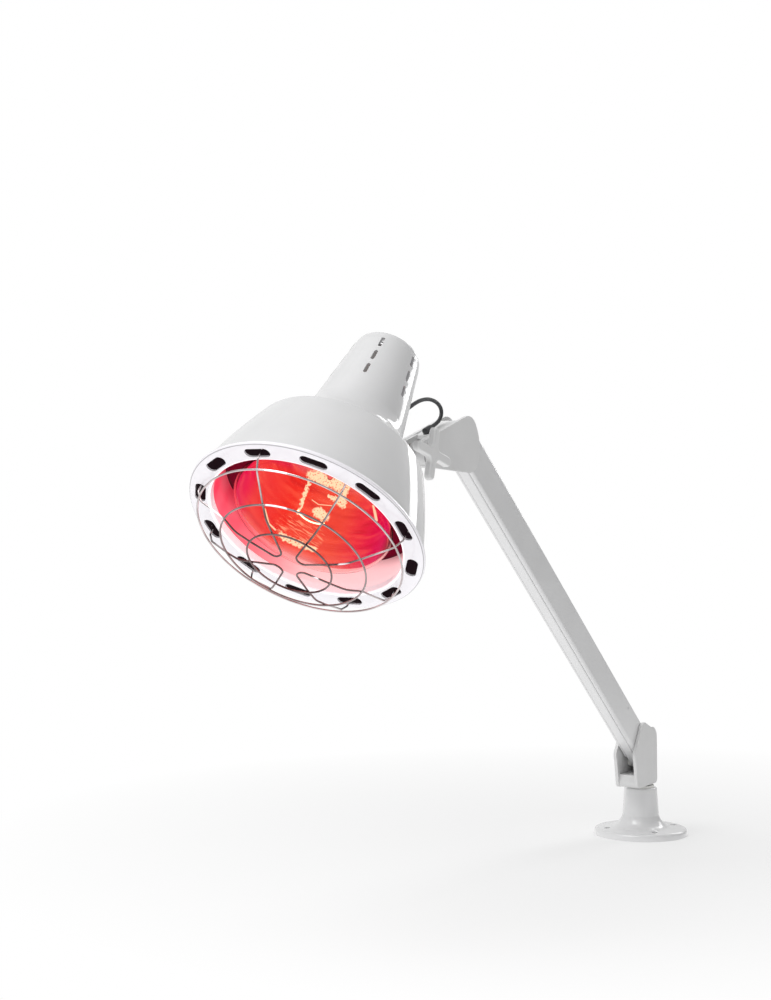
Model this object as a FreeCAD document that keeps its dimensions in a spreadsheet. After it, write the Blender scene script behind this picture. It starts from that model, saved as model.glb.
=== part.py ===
import FreeCAD, Part
import math
import os
import Sketcher
from FreeCAD import Placement, Rotation, Vector

# Infrared heat lamp on a spring-balanced swing arm. +Z is up, +X is the way the lamp faces,
# +Y is the side of the cross knob. The origin is the middle of the foot's underside, on the
# vertical axis that the arm swivels about. Lengths are in millimetres, angles in degrees.

DRIVING = {
    # pose of the arm and the head
    "arm_length": 500, "arm_slope": 38.05, "head_dip": 48.53,
    "swivel_to_pivot": 8, "pivot_height": 96.5, "pivot_spacing": 20,
    "tilt_ahead": 88.6, "tilt_below": 20.3, "tilt_behind_rim": 141, "tilt_off_axis": 74.7,
    # shade and vent ring, radii and depths behind the rim
    "shade_wall": 1.8, "shade_mouth_r": 91.3, "ring_back": 2.7, "shoulder_r": 68.6, "shoulder_depth": 66.9,
    "flare_r": 66.7, "flare_depth": 69, "neck_r": 38.2, "neck_depth": 106, "neck_end_r": 28.2,
    "neck_end_depth": 172, "rim_r": 93.5, "ring_front": 4.2, "ring_bore_r": 76.2, "slot_circle_r": 83.9,
    "slot_half_length": 6.4, "slot_half_width": 4.3, "vent_half_length": 4.2, "vent_half_width": 1.5,
    "vent_pitch": 16.7, "first_vent_depth": 133.4,
    "reflector_r": 78.6, "reflector_wall": 0.8, "reflector_depth": 30.5,
    # wire guard
    "wire_r": 0.75, "guard_outer_r": 80.85, "guard_outer_out": 17.2, "guard_middle_r": 57.3,
    "guard_middle_out": 29.9, "guard_inner_r": 33.2, "guard_inner_out": 37,
    # lamp and lampholder
    "bulb_r": 63.3, "bulb_neck_r": 17, "bulb_cap_r": 13.2, "glass": 1.2, "holder_r": 21,
    # knuckles, pins and knob
    "knuckle_half": 12, "slot_half": 8.9, "pin_r": 3, "bolt_r": 4, "running_gap": 0.05, "lug_half": 5,
    "knob_long_reach": 28, "knob_short_reach": 22, "knob_lobe_r": 4.2, "knob_thick": 6.4, "knob_base": 20,
    # arm channels
    "upper_half": 8.55, "upper_above": 10.7, "upper_below": 21.2, "upper_wall": 1.3, "upper_hem": 3.4,
    "lower_half": 4.85, "lower_above": 5, "lower_below": 6.4, "lower_wall": 1.2,
    # base
    "foot_r": 48, "foot_thick": 7, "boss_r": 17, "boss_top": 49, "spigot_r": 6, "bush_r": 8,
    "foot_hole_r": 3.25, "foot_hole_circle_r": 37,
    "cable_r": 1.65,
}


class Size:
    """A length together with the formula that reads it from the sheet."""

    def __init__(self, value, text):
        self.value = value
        self.text = text

    def joined(self, other, sign, value):
        text = other.text if isinstance(other, Size) else repr(float(other))
        return Size(value, "(" + self.text + " " + sign + " " + text + ")")

    def __add__(self, other):
        return self.joined(other, "+", self.value + number(other))

    def __sub__(self, other):
        return self.joined(other, "-", self.value - number(other))

    def __mul__(self, other):
        return self.joined(other, "*", self.value * number(other))

    def __neg__(self):
        return Size(-self.value, "(0 - " + self.text + ")")


def number(size):
    return size.value if isinstance(size, Size) else float(size)


class Sizes:
    """The spreadsheet, read by alias."""

    def __init__(self, document, driving):
        table = document.addObject("Spreadsheet::Sheet", "Sizes")
        for row, (alias, value) in enumerate(driving.items(), start=1):
            table.set("A" + str(row), alias)
            table.set("B" + str(row), str(value))
            table.setAlias("B" + str(row), alias)
            setattr(self, alias, Size(float(value), "Sizes." + alias))
        document.recompute()


doc = FreeCAD.newDocument("HeatLamp")
S = Sizes(doc, DRIVING)
made = []


def bind(feature, prop, size):
    """Give a property a size, and bind it to the sheet where the size comes from there."""
    if isinstance(size, Size):
        feature.setExpression(prop, size.text)
    else:
        setattr(feature, prop, size)


def keep(feature, label, place=None):
    feature.Label = label
    if place is not None:
        feature.Placement = place
    made.append(feature)
    return feature


# ---------------------------------------------------------------- frames

lower_pivot = Vector(S.swivel_to_pivot.value, 0, S.pivot_height.value)
arm_turn = Rotation(Vector(0, 1, 0), -S.arm_slope.value)
arm_frame = Placement(lower_pivot, arm_turn)
upper_pivot = arm_frame.multVec(Vector(S.arm_length.value, 0, 0))
link_drop = Vector(0, 0, -S.pivot_spacing.value)
link_frame = Placement(lower_pivot + link_drop, arm_turn)
lower_frame = Placement(lower_pivot, Rotation())
upper_frame = Placement(upper_pivot, Rotation())
tilt_axis = upper_pivot + Vector(S.tilt_ahead.value, 0, -S.tilt_below.value)
head_turn = Rotation(Vector(0, 1, 0), S.head_dip.value - 90)
rim_centre = tilt_axis - head_turn.multVec(Vector(-S.tilt_off_axis.value, 0, S.tilt_behind_rim.value))
head_frame = Placement(rim_centre, head_turn)
ALONG_Y = Rotation(Vector(1, 0, 0), -90)


# ---------------------------------------------------------------- sketches and features

def sketch_on(body, role="XZ_Plane", offset=None):
    """A new sketch on one of the body's own origin planes."""
    sketch = body.newObject("Sketcher::SketchObject", "Sketch")
    plane = [item for item in body.Origin.OriginFeatures if item.Role == role][0]
    sketch.AttachmentSupport = [(plane, "")]
    sketch.MapMode = "FlatFace"
    if offset is not None:
        sketch.AttachmentOffset = offset
    return sketch


def middle_of_arc(start, end, radius, side):
    """Middle point of the short arc from start to end; side is 1 for a left turn, -1 for a right one."""
    chord = end - start
    half = chord.Length / 2
    rise = radius - math.sqrt(max(radius * radius - half * half, 0))
    right = Vector(chord.y, -chord.x, 0).normalize()
    return (start + end) * 0.5 + right * (rise * side)


def constrain(sketch, size, *what):
    """Add a dimension to a sketch, bound to the sheet where the size comes from there."""
    index = sketch.addConstraint(Sketcher.Constraint(*what, number(size)))
    if isinstance(size, Size):
        sketch.setExpression("Constraints[" + str(index) + "]", size.text)


def fix_radius(sketch, geometry, radius):
    constrain(sketch, radius, "Radius", geometry)


def tie_one(sketch, geometry, end, across, size):
    constrain(sketch, size, ("DistanceX", "DistanceY")[across], -1, 1, geometry, end)


def tie(sketch, geometry, end, point):
    """Fix one end of a piece of sketch geometry at its place from the origin."""
    tie_one(sketch, geometry, end, 0, point[0])
    tie_one(sketch, geometry, end, 1, point[1])


def outline(sketch, start, *steps):
    """Closed outline: each step is (x, y) for a line or (x, y, radius, side) for an arc."""
    corner = start
    ends = []
    for step in steps + (start,):
        if step is start and (number(corner[0]), number(corner[1])) == (number(start[0]), number(start[1])):
            break
        here = Vector(number(corner[0]), number(corner[1]), 0)
        there = Vector(number(step[0]), number(step[1]), 0)
        if len(step) == 2:
            index = sketch.addGeometry(Part.LineSegment(here, there))
            first, last = 1, 2
        else:
            middle = middle_of_arc(here, there, number(step[2]), step[3])
            left = step[3] > 0
            curve = Part.Arc(here, middle, there) if left else Part.Arc(there, middle, here)
            index = sketch.addGeometry(curve)
            first, last = (1, 2) if left else (2, 1)
            chord = there - here
            if chord.Length > 1.998 * number(step[2]):
                across = 1 if abs(chord.x) > abs(chord.y) else 0
                tie_one(sketch, index, 3, across, corner[across])
            else:
                fix_radius(sketch, index, step[2])
        tie(sketch, index, first, corner)
        ends.append((index, first, last))
        corner = step[:2]
    for one, other in zip(ends, ends[1:] + ends[:1]):
        sketch.addConstraint(Sketcher.Constraint("Coincident", one[0], one[2], other[0], other[1]))
    return sketch


def circle(sketch, centre, radius):
    place = Vector(number(centre[0]), number(centre[1]), 0)
    index = sketch.addGeometry(Part.Circle(place, Vector(0, 0, 1), number(radius)))
    tie(sketch, index, 3, centre)
    fix_radius(sketch, index, radius)
    return sketch


def stadium(sketch, centre, half_length, half_width, upright=False):
    """A slot with round ends; half_length is to the middle of each end's arc."""
    x, y = centre
    if upright:
        outline(sketch, (half_width + x, -half_length + y),
                (half_width + x, half_length + y), (-half_width + x, half_length + y, half_width, 1),
                (-half_width + x, -half_length + y), (half_width + x, -half_length + y, half_width, 1))
    else:
        outline(sketch, (-half_length + x, -half_width + y),
                (half_length + x, -half_width + y), (half_length + x, half_width + y, half_width, 1),
                (-half_length + x, half_width + y), (-half_length + x, -half_width + y, half_width, 1))
    return sketch


def feature_of(body, kind, sketch, **settings):
    feature = body.newObject("PartDesign::" + kind, kind)
    feature.Profile = sketch
    for prop, value in settings.items():
        bind(feature, prop, value)
    return feature


def revolve(body, sketch, angle=360.0):
    """Turn a sketch about its own upright axis, half of the angle to each side."""
    feature = body.newObject("PartDesign::Revolution", "Revolution")
    feature.Profile = sketch
    feature.ReferenceAxis = (sketch, ["V_Axis"])
    feature.Midplane = angle < 360
    feature.Angle = angle
    return feature


def turned(label, place, start, *steps):
    """A body of revolution about its own Z axis from an outline of (radius, height)."""
    body = doc.addObject("PartDesign::Body", label)
    revolve(body, outline(sketch_on(body), start, *steps))
    return keep(body, label, place)


def polar(body, source, count):
    pattern = body.newObject("PartDesign::PolarPattern", "PolarPattern")
    pattern.Originals = [source]
    axis = [item for item in body.Origin.OriginFeatures if item.Role == "Z_Axis"][0]
    pattern.Axis = (axis, [""])
    pattern.Angle = 360
    pattern.Occurrences = count
    body.Tip = pattern
    return pattern


def cylinder(radius, height, place=None):
    shape = doc.addObject("Part::Cylinder", "Cylinder")
    bind(shape, "Radius", radius)
    bind(shape, "Height", height)
    if place is not None:
        shape.Placement = place
    return shape


def tube(label, outer, inner, height, place):
    """A plain ring or sleeve."""
    cut = doc.addObject("Part::Cut", label)
    cut.Base = cylinder(outer, height)
    cut.Tool = cylinder(inner, height)
    return keep(cut, label, place)


def several(label, solids):
    group = doc.addObject("Part::Compound", label)
    group.Links = solids
    return keep(group, label)


def crosswise(place, point, y):
    """A frame at a point of another frame whose Z runs along +Y, starting at y."""
    return place * Placement(Vector(point[0], y, point[1]), ALONG_Y)


# ---------------------------------------------------------------- shade

NECK_TAPER = (S.neck_r.value - S.neck_end_r.value) / (S.neck_end_depth.value - S.neck_depth.value)


def neck_radius_at(depth):
    """Outer radius of the neck's cone at a depth behind the rim."""
    return S.neck_r.value - NECK_TAPER * (depth - S.neck_depth.value)


DRUM_R = 460.0
SHOULDER_R = 4.0
FLARE_R = 52.0
GROMMET_DEPTH = 158.0
GROMMET_HOLE_R = 4.0
GROMMET_OUT = 4.4
grommet_seat = Vector(-neck_radius_at(GROMMET_DEPTH), 0, GROMMET_DEPTH)
grommet_frame = head_frame * Placement(grommet_seat, Rotation(Vector(0, 0, 1), Vector(-1, 0, NECK_TAPER)))
VENT_COLUMNS = 6
VENT_TURN = 22.0
VENTS = 3


def make_shade():
    """Spun shade: drum, rounded shoulder, flare and tapered neck in one wall."""
    wall = S.shade_wall
    body = doc.addObject("PartDesign::Body", "shade_shell")
    sketch = outline(
        sketch_on(body),
        (S.shade_mouth_r, -S.ring_back),
        (S.shoulder_r, S.shoulder_depth, DRUM_R, 1), (S.flare_r, S.flare_depth, SHOULDER_R, 1),
        (S.neck_r, S.neck_depth, FLARE_R, -1), (S.neck_end_r, S.neck_end_depth),
        (S.neck_end_r - wall, S.neck_end_depth), (S.neck_r - wall, S.neck_depth),
        (S.flare_r - wall, S.flare_depth, FLARE_R, 1),
        (S.shoulder_r - wall, S.shoulder_depth, SHOULDER_R, -1),
        (S.shade_mouth_r - wall, -S.ring_back, DRUM_R, -1))
    revolve(body, sketch)
    turn = Placement(Vector(), Rotation(Vector(0, 1, 0), VENT_TURN))
    vents = sketch_on(body, "YZ_Plane", turn)
    for number_up in range(VENTS):
        depth = S.first_vent_depth + S.vent_pitch * number_up
        stadium(vents, (0.0, depth), S.vent_half_length, S.vent_half_width, upright=True)
    pocket = feature_of(body, "Pocket", vents, Length=S.neck_r)
    pocket.Reversed = True
    doc.recompute()
    polar(body, pocket, VENT_COLUMNS)
    entry = circle(sketch_on(body, "YZ_Plane"), (0.0, GROMMET_DEPTH), GROMMET_HOLE_R)
    hole = feature_of(body, "Pocket", entry, Length=S.neck_r)
    doc.recompute()
    body.Tip = hole
    keep(body, "shade_shell", head_frame)


RING_ROLL_R = 1.9
LIP = 1.6
LIP_DEPTH = 2.6


def make_vent_ring():
    """Rolled ring that closes the mouth, with twelve air slots and a lip round its bore."""
    body = doc.addObject("PartDesign::Body", "vent_ring")
    front = -S.ring_front
    back = -S.ring_back
    bore = S.ring_bore_r
    sketch = outline(
        sketch_on(body),
        (bore + LIP, front), (S.rim_r - RING_ROLL_R, front), (S.rim_r, front + RING_ROLL_R, RING_ROLL_R, 1),
        (S.rim_r, back + 0.6), (S.rim_r - 1.6, back + 2.9, 3.4, 1), (S.rim_r - 2.0, back + 2.9),
        (S.rim_r - 2.0, back), (bore + LIP, back), (bore + LIP, LIP_DEPTH), (bore, LIP_DEPTH),
        (bore, front + LIP), (bore + LIP, front, LIP, 1))
    revolve(body, sketch)
    slot = stadium(sketch_on(body, "XY_Plane"), (S.slot_circle_r, 0.0), S.slot_half_length,
                   S.slot_half_width, upright=True)
    pocket = feature_of(body, "Pocket", slot, Length=12.0)
    pocket.SideType = "Symmetric"
    doc.recompute()
    polar(body, pocket, 12)
    keep(body, "vent_ring", head_frame)


def make_inner_reflector():
    """Inner wall round the bulb, pushed over the ring's lip and flared at its end; air passes round it."""
    wide, end = S.reflector_r, S.reflector_depth
    inside = wide - S.reflector_wall
    front = -1.2
    turned("inner_reflector", head_frame,
           (wide, front), (wide, end - 2.0), (wide + 0.9, end - 0.6, 2.4, -1), (wide + 0.9, end),
           (wide - 0.2, end), (inside, end - 2.0, 3.6, 1), (inside, front))


def make_neck_cap():
    """Closed end of the neck, with a skirt that drops inside it."""
    end = S.neck_end_depth
    outer = S.neck_end_r
    turned("neck_cap", head_frame,
           (0.0, end + 9.0), (outer - 6.2, end + 9.0), (outer - 1.0, end + 3.8, 5.2, -1), (outer, end),
           (outer - 1.9, end), (outer - 2.0, end - 3.0), (outer - 3.4, end - 3.0), (outer - 3.4, end + 3.6),
           (outer - 6.4, end + 7.2, 4.4, 1), (0.0, end + 7.2))


# ---------------------------------------------------------------- wire guard

def rounded_path(points, radii):
    """Straight runs joined by tangent arcs of the given radii."""
    edges = []
    here = points[0]
    for before, corner, after, radius in zip(points, points[1:], points[2:], radii):
        back = (before - corner).normalize()
        ahead = (after - corner).normalize()
        half_turn = (math.pi - back.getAngle(ahead)) / 2
        reach = radius * math.tan(half_turn)
        start = corner + back * reach
        end = corner + ahead * reach
        inward = (back + ahead).normalize()
        middle = corner + inward * (radius / math.cos(half_turn) - radius)
        edges.append(Part.LineSegment(here, start).toShape())
        edges.append(Part.Arc(start, middle, end).toShape())
        here = end
    edges.append(Part.LineSegment(here, points[-1]).toShape())
    return Part.Wire(edges)


def round_bar(path, radius):
    """A round wire or cable along a path."""
    start = path.Edges[0].Vertexes[0].Point
    along = path.Edges[0].tangentAt(path.Edges[0].FirstParameter)
    section = Part.Wire([Part.Circle(start, along, radius).toShape()])
    return path.makePipeShell([section], True, False)


def solid(label, shape, place=None):
    feature = doc.addObject("Part::Feature", label)
    feature.Shape = shape
    return keep(feature, label, place)


# The angle of each loop's first leg, of its second leg, of the second leg's hook, and that hook's radius.
GUARD_LEGS = {"guard_loop_top": (2, -45, -54, 84.0), "guard_loop_near": (93, 49.5, 49.5, 74.4),
              "guard_loop_low": (180, 135, 147, 84.0), "guard_loop_far": (270, 225, 236, 84.0)}
BELLY_R = 46.0
BELLY_OUT = 2.2
TIP_R = 11.2
TIP_OUT = 0.6
HOOK_REACH = 2.8
LEG_BENDS = (2.2, 3.0, 6.0, 12.0, 24.0, 12.0, 5.3)


def polar_point(radius, degrees, out):
    angle = math.radians(degrees)
    return Vector(radius * math.cos(angle), radius * math.sin(angle), -out)


def leg_points(angle, hook_angle, hook_r):
    """A leg of a guard loop, from near the middle of the dome to its hook behind the vent ring."""
    sunk = 2 * S.wire_r.value - 0.15
    inner_out = S.guard_inner_out.value
    middle_r, middle_out = S.guard_middle_r.value, S.guard_middle_out.value
    inner_r = S.guard_inner_r.value
    share = (BELLY_R - inner_r) / (middle_r - inner_r)
    points = [
        polar_point(inner_r, angle, inner_out - sunk),
        polar_point(BELLY_R, angle, inner_out + (middle_out - inner_out) * share - sunk + BELLY_OUT),
        polar_point(middle_r, angle, middle_out - sunk),
    ]
    behind = 4.2 if hook_r < S.ring_bore_r.value else -0.6
    points.append(polar_point(hook_r - 5, hook_angle, S.guard_outer_out.value - sunk + 0.8))
    points.append(polar_point(hook_r, hook_angle, 9.5))
    points.append(polar_point(hook_r, hook_angle, -behind))
    return points, polar_point(hook_r + HOOK_REACH, hook_angle, -behind - 0.4)


def make_guard():
    for name in ("outer", "middle", "inner"):
        ring = doc.addObject("Part::Torus", "guard_ring_" + name)
        bind(ring, "Radius1", getattr(S, "guard_" + name + "_r"))
        bind(ring, "Radius2", S.wire_r)
        out = getattr(S, "guard_" + name + "_out").value
        keep(ring, "guard_ring_" + name, head_frame * Placement(Vector(0, 0, -out), Rotation()))
    for label, (first_angle, second_angle, hook_angle, hook_r) in GUARD_LEGS.items():
        first, first_hook = leg_points(first_angle, first_angle, S.slot_circle_r.value)
        second, second_hook = leg_points(second_angle, hook_angle, hook_r)
        spread = second_angle - first_angle
        out = S.guard_inner_out.value + TIP_OUT
        points = [first_hook] + first[::-1]
        points.append(polar_point(TIP_R, first_angle + spread * 0.06, out))
        points.append(polar_point(TIP_R, first_angle + spread * 0.94, out))
        points += second + [second_hook]
        radii = LEG_BENDS + LEG_BENDS[::-1]
        solid(label, round_bar(rounded_path(points, radii), S.wire_r.value), head_frame)


# ---------------------------------------------------------------- lamp, lampholder and cable entry

def make_lamp():
    wide = S.bulb_r
    neck = S.bulb_neck_r
    wall = S.glass
    turned("bulb_glass", head_frame,
           (0.0, -14.0), (wide - 8.0, 0.0, 115.0, 1), (wide, 12.0, 14.0, 1), (neck + 8.0, 80.0, 130.0, 1),
           (neck, 98.0, 34.0, -1), (neck - 0.3, 120.0), (S.bulb_cap_r - 0.8, 126.0),
           (S.bulb_cap_r - 0.8, 131.0),
           (S.bulb_cap_r - 2.4, 131.0), (S.bulb_cap_r - 2.4, 126.4), (neck - 0.3 - wall, 119.6),
           (neck - wall, 98.2), (neck + 8.0 - wall, 79.6, 34.0, 1), (wide - wall, 12.0, 130.0, -1),
           (wide - 8.6, 1.2, 14.0, -1), (0.0, wall - 14.0, 115.0, -1))
    cap = S.bulb_cap_r
    turned("bulb_cap", head_frame,
           (cap - 0.7, 126.2), (cap, 126.2), (cap, 148.0), (cap - 4.0, 152.0), (0.0, 152.0), (0.0, 150.6),
           (cap - 4.4, 150.6), (cap - 0.7, 147.4))
    turned("bulb_contact", head_frame, (0.0, 152.0), (5.2, 152.0), (5.2, 152.8), (3.0, 154.6, 2.6, 1),
           (0.0, 154.6))


def make_lampholder():
    outer = S.holder_r
    bore = S.bulb_cap_r + 0.5
    turned("lampholder", head_frame,
           (bore, 125.0), (outer - 1.0, 125.0), (outer, 126.0, 1.0, 1), (outer, 140.0), (outer - 2.2, 142.0),
           (outer - 2.2, 150.0), (outer, 152.0), (outer, 166.0), (0.0, 166.0), (0.0, 157.0), (bore, 157.0))
    tube("holder_contact", 4.6, 2.0, 2.4, head_frame * Placement(Vector(0, 0, 154.6), Rotation()))
    body = doc.addObject("PartDesign::Body", "holder_plate")
    rim = neck_radius_at(167.0) - S.shade_wall.value
    back = Placement(Vector(0, 0, 166.0), Rotation())
    plate = circle(sketch_on(body, "XY_Plane", back), (0.0, 0.0), rim - 0.15)
    feature_of(body, "Pad", plate, Length=1.4)
    air = stadium(sketch_on(body, "XY_Plane", back), (20.0, 0.0), 7.0, 3.2, upright=True)
    pocket = feature_of(body, "Pocket", air, Length=6.0)
    pocket.SideType = "Symmetric"
    doc.recompute()
    polar(body, pocket, 3)
    keep(body, "holder_plate", head_frame)
    screws = []
    for side in (-1, 1):
        place = head_frame * Placement(Vector(0, 10.0 * side, 167.4), Rotation())
        screws.append(cylinder(3.4, 2.0, place))
    several("holder_screws", screws)
    wide = GROMMET_HOLE_R
    barrel = wide - 0.35
    turned("cable_grommet", grommet_frame,
           (S.cable_r, -4.0), (wide + 1.6, -4.0), (wide + 1.6, -2.9), (barrel, -2.4), (barrel, 0.1),
           (wide + 1.8, 0.1), (wide + 1.2, 2.6), (S.cable_r + 1.0, GROMMET_OUT), (S.cable_r, GROMMET_OUT))


# ---------------------------------------------------------------- tilt joint

EYE_R = 10.0
SADDLE = 2.6
SADDLE_ANGLE = 50.0


def make_tilt_bracket():
    """Cast lug on a curved saddle that is riveted to the neck."""
    body = doc.addObject("PartDesign::Body", "tilt_bracket")
    low, high = 107.0, 137.0
    low_r, high_r = neck_radius_at(low), neck_radius_at(high)
    saddle = outline(sketch_on(body), (-low_r, low), (-high_r, high), (-high_r - SADDLE, high - 0.6),
                     (-low_r - SADDLE, low + 0.6))
    revolve(body, saddle, SADDLE_ANGLE)
    eye = (-S.tilt_off_axis, S.tilt_behind_rim)
    root = 1.3
    web = outline(
        sketch_on(body), (-low_r - root, low + 3.0), (eye[0] + 3.0, eye[1] - EYE_R, 40.0, 1),
        (eye[0] - EYE_R, eye[1], EYE_R, -1), (eye[0] - 1.0, eye[1] + EYE_R, EYE_R, -1),
        (-high_r - root, high - 1.0, 70.0, 1))
    pad = feature_of(body, "Pad", web, Length=S.lug_half * 2)
    pad.SideType = "Symmetric"
    doc.recompute()
    bore = circle(sketch_on(body), eye, S.bolt_r + S.running_gap)
    hole = feature_of(body, "Pocket", bore, Length=S.lug_half * 4)
    hole.SideType = "Symmetric"
    doc.recompute()
    body.Tip = hole
    keep(body, "tilt_bracket", head_frame)
    heads = []
    for side in (-1, 1):
        for depth in (112.0, 132.0):
            around = Placement(Vector(), Rotation(Vector(0, 0, 1), 180 + 17 * side))
            reach = neck_radius_at(depth) + SADDLE + 0.12
            lean = Rotation(Vector(0, 1, 0), 90 - math.degrees(math.atan(NECK_TAPER)))
            heads.append(cylinder(3.0, 1.4, head_frame * around * Placement(Vector(reach, 0, depth), lean)))
    several("bracket_rivets", heads)


def make_tilt_clamp():
    """Friction washers, through bolt and the cross knob that tightens it."""
    washers = []
    lug = S.lug_half.value
    for start in (lug + 0.05, -lug - 1.05):
        cut = doc.addObject("Part::Cut", "Washer")
        cut.Base = cylinder(S.bolt_r + 5.0, 1.0)
        cut.Tool = cylinder(S.bolt_r + 0.1, 1.0)
        cut.Placement = crosswise(Placement(tilt_axis, Rotation()), (0, 0), start)
        washers.append(cut)
    several("friction_washers", washers)
    far = -S.knuckle_half.value
    place = crosswise(Placement(tilt_axis, Rotation()), (0, 0), far)
    turned("tilt_bolt", place, (0.0, -4.6), (4.0, -4.6), (8.0, -1.6, 8.0, 1), (8.0, 0.0), (S.bolt_r, 0.0),
           (S.bolt_r, 34.0), (0.0, 34.0))


KNOB_WEB_R = 4.6
KNOB_TURN = 14.5
KNOB_GAP = 0.3
KNOB_ROUNDING = 2.0
INSERT_LENGTH = 11.0


def knob_outline(round_r, reaches):
    """Cross of four lobes with round tips, joined by hollow corners."""
    root = round_r + KNOB_WEB_R
    points = []
    for quarter in range(4):
        tip = reaches[quarter % 2] - round_r
        lobe = [(root, -round_r, KNOB_WEB_R, -1), (tip, -round_r), (tip, round_r, round_r, 1),
                (root, round_r)]
        for turn in range(quarter):
            lobe = [(-point[1], point[0]) + point[2:] for point in lobe]
        points += lobe
    start = points[0]
    return [start[:2]] + points[1:] + [start]


def make_knob():
    """Cross knob with four round lobes on a hub that bears on the knuckle."""
    body = doc.addObject("PartDesign::Body", "cross_knob")
    reaches = (S.knob_long_reach, S.knob_short_reach)
    sketch = outline(sketch_on(body, "XY_Plane"), *knob_outline(S.knob_lobe_r, reaches))
    pad = feature_of(body, "Pad", sketch, Length=S.knob_thick)
    doc.recompute()
    faces = [index for index, face in enumerate(pad.Shape.Faces, start=1)
             if face.Surface.TypeId == "Part::GeomPlane" and face.BoundBox.ZLength < 0.01]
    edge = body.newObject("PartDesign::Fillet", "Fillet")
    edge.Base = (pad, ["Face" + str(index) for index in faces])
    edge.Radius = KNOB_ROUNDING
    doc.recompute()
    body.Tip = edge
    hub = circle(sketch_on(body, "XY_Plane"), (0.0, 0.0), S.bolt_r + 4.6)
    boss = feature_of(body, "Pad", hub, Length=S.knob_base - S.knuckle_half - KNOB_GAP)
    boss.Reversed = True
    doc.recompute()
    seat = S.knuckle_half.value + KNOB_GAP
    hub_end = Placement(Vector(0, 0, seat - S.knob_base.value), Rotation())
    bore = circle(sketch_on(body, "XY_Plane", hub_end), (0.0, 0.0), S.bolt_r + 1.6)
    hole = feature_of(body, "Pocket", bore, Length=INSERT_LENGTH)
    hole.Reversed = True
    doc.recompute()
    body.Tip = hole
    place = crosswise(Placement(tilt_axis, Rotation()), (0, 0), S.knob_base.value)
    keep(body, "cross_knob", place * Placement(Vector(), Rotation(Vector(0, 0, 1), -KNOB_TURN)))
    tube("knob_insert", S.bolt_r + 1.6, S.bolt_r + S.running_gap, INSERT_LENGTH,
         crosswise(Placement(tilt_axis, Rotation()), (0, 0), seat))


# ---------------------------------------------------------------- knuckles

BOOT_FOOT = 56.5
BOOT_FOOT_R = 2.45


HEEL = {"near": 34.4, "far": 31.0}


def upper_outline(sketch, end):
    """Side view of the upper knuckle, about the upper pivot; its nose is round about the tilt axis."""
    nose = 9.5
    ahead, below = S.tilt_ahead, -S.tilt_below
    heel = -HEEL[end]
    return outline(
        sketch, (ahead - 0.5, below - nose), (4.0, heel), (-14.2, heel + 8.6, 20.0, -1),
        (-16.8, -12.0, 60.0, -1), (-9.4, 6.6, 45.0, -1), (8.0, 13.2, 16.0, -1),
        (ahead - 1.7, below + nose - 0.2),
        (ahead + nose, below, nose, -1), (ahead - 0.5, below - nose, nose, -1))


def lower_outline(sketch, end):
    """Side view of the lower knuckle, about the lower pivot; its two halves are alike."""
    return outline(
        sketch, (24.0, -44.0), (-19.0, -44.0), (-24.0, -39.0, 5.0, -1), (-23.0, 4.0), (-8.0, 15.0, 13.0, -1),
        (8.0, 21.5), (18.0, 17.0, 9.0, -1), (33.5, -6.0), (33.0, -16.0, 10.0, -1), (29.0, -39.5),
        (24.0, -44.0, 5.0, -1))


SIDES = {"near": 1, "far": -1}


def half_knuckle(label, end, side_view, *inner_blocks):
    """One moulded half: a cheek with blocks that meet the other half at the middle."""
    body = doc.addObject("PartDesign::Body", label)
    side = SIDES[end]
    near = side > 0
    cheek = feature_of(body, "Pad", side_view(sketch_on(body, "XZ_Plane", y_offset(side, S.slot_half)), end),
                       Length=S.knuckle_half - S.slot_half)
    cheek.Reversed = near
    for block, start in inner_blocks:
        wall = feature_of(body, "Pad", block(sketch_on(body, "XZ_Plane", y_offset(side, start))),
                          Length=S.slot_half - start + 0.5)
        wall.Reversed = near
    doc.recompute()
    return body


def y_offset(side, start):
    """Offset of a sketch on the XZ plane, whose own Z runs along -Y."""
    return Placement(Vector(0, 0, -side * number(start)), Rotation())


def drill(body, side, start, centre, radius, depth):
    """A round hole across the knuckle half from start outwards."""
    mouth = circle(sketch_on(body, "XZ_Plane", y_offset(side, start)), centre, radius)
    hole = feature_of(body, "Pocket", mouth, Length=depth)
    hole.Reversed = side < 0
    doc.recompute()
    body.Tip = hole
    return hole


def upper_roof(sketch):
    """Roof, bridge and floor of the upper knuckle, ahead of the slot that the arm's end turns in."""
    return outline(
        sketch, (16.0, 9.7), (16.0, 6.9), (36.0, 0.7), (36.0, -29.6), (60.0, -29.6), (60.0, -26.6),
        (44.0, -26.6), (44.0, -2.2), (61.0, -7.4), (61.0, -4.2))


def upper_nose(sketch):
    """Thicker cheek beside the tilt lug."""
    ahead, below = S.tilt_ahead, -S.tilt_below
    return outline(
        sketch, (60.0, -29.6), (ahead - 0.5, below - 9.3), (ahead + 9.3, below, 9.3, 1),
        (ahead - 1.7, below + 9.1, 9.3, 1), (60.0, -3.2))


def lower_block(sketch):
    """Bottom block that holds the swivel spigot."""
    return outline(sketch, (24.0, -43.8), (-19.0, -43.8), (-23.8, -39.0, 4.8, -1), (-22.8, 3.6),
                   (-13.0, 12.0, 14.0, -1),
                   (-13.0, -31.0), (26.0, -31.0), (28.0, -39.0), (24.0, -43.8, 5.0, -1))


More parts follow.
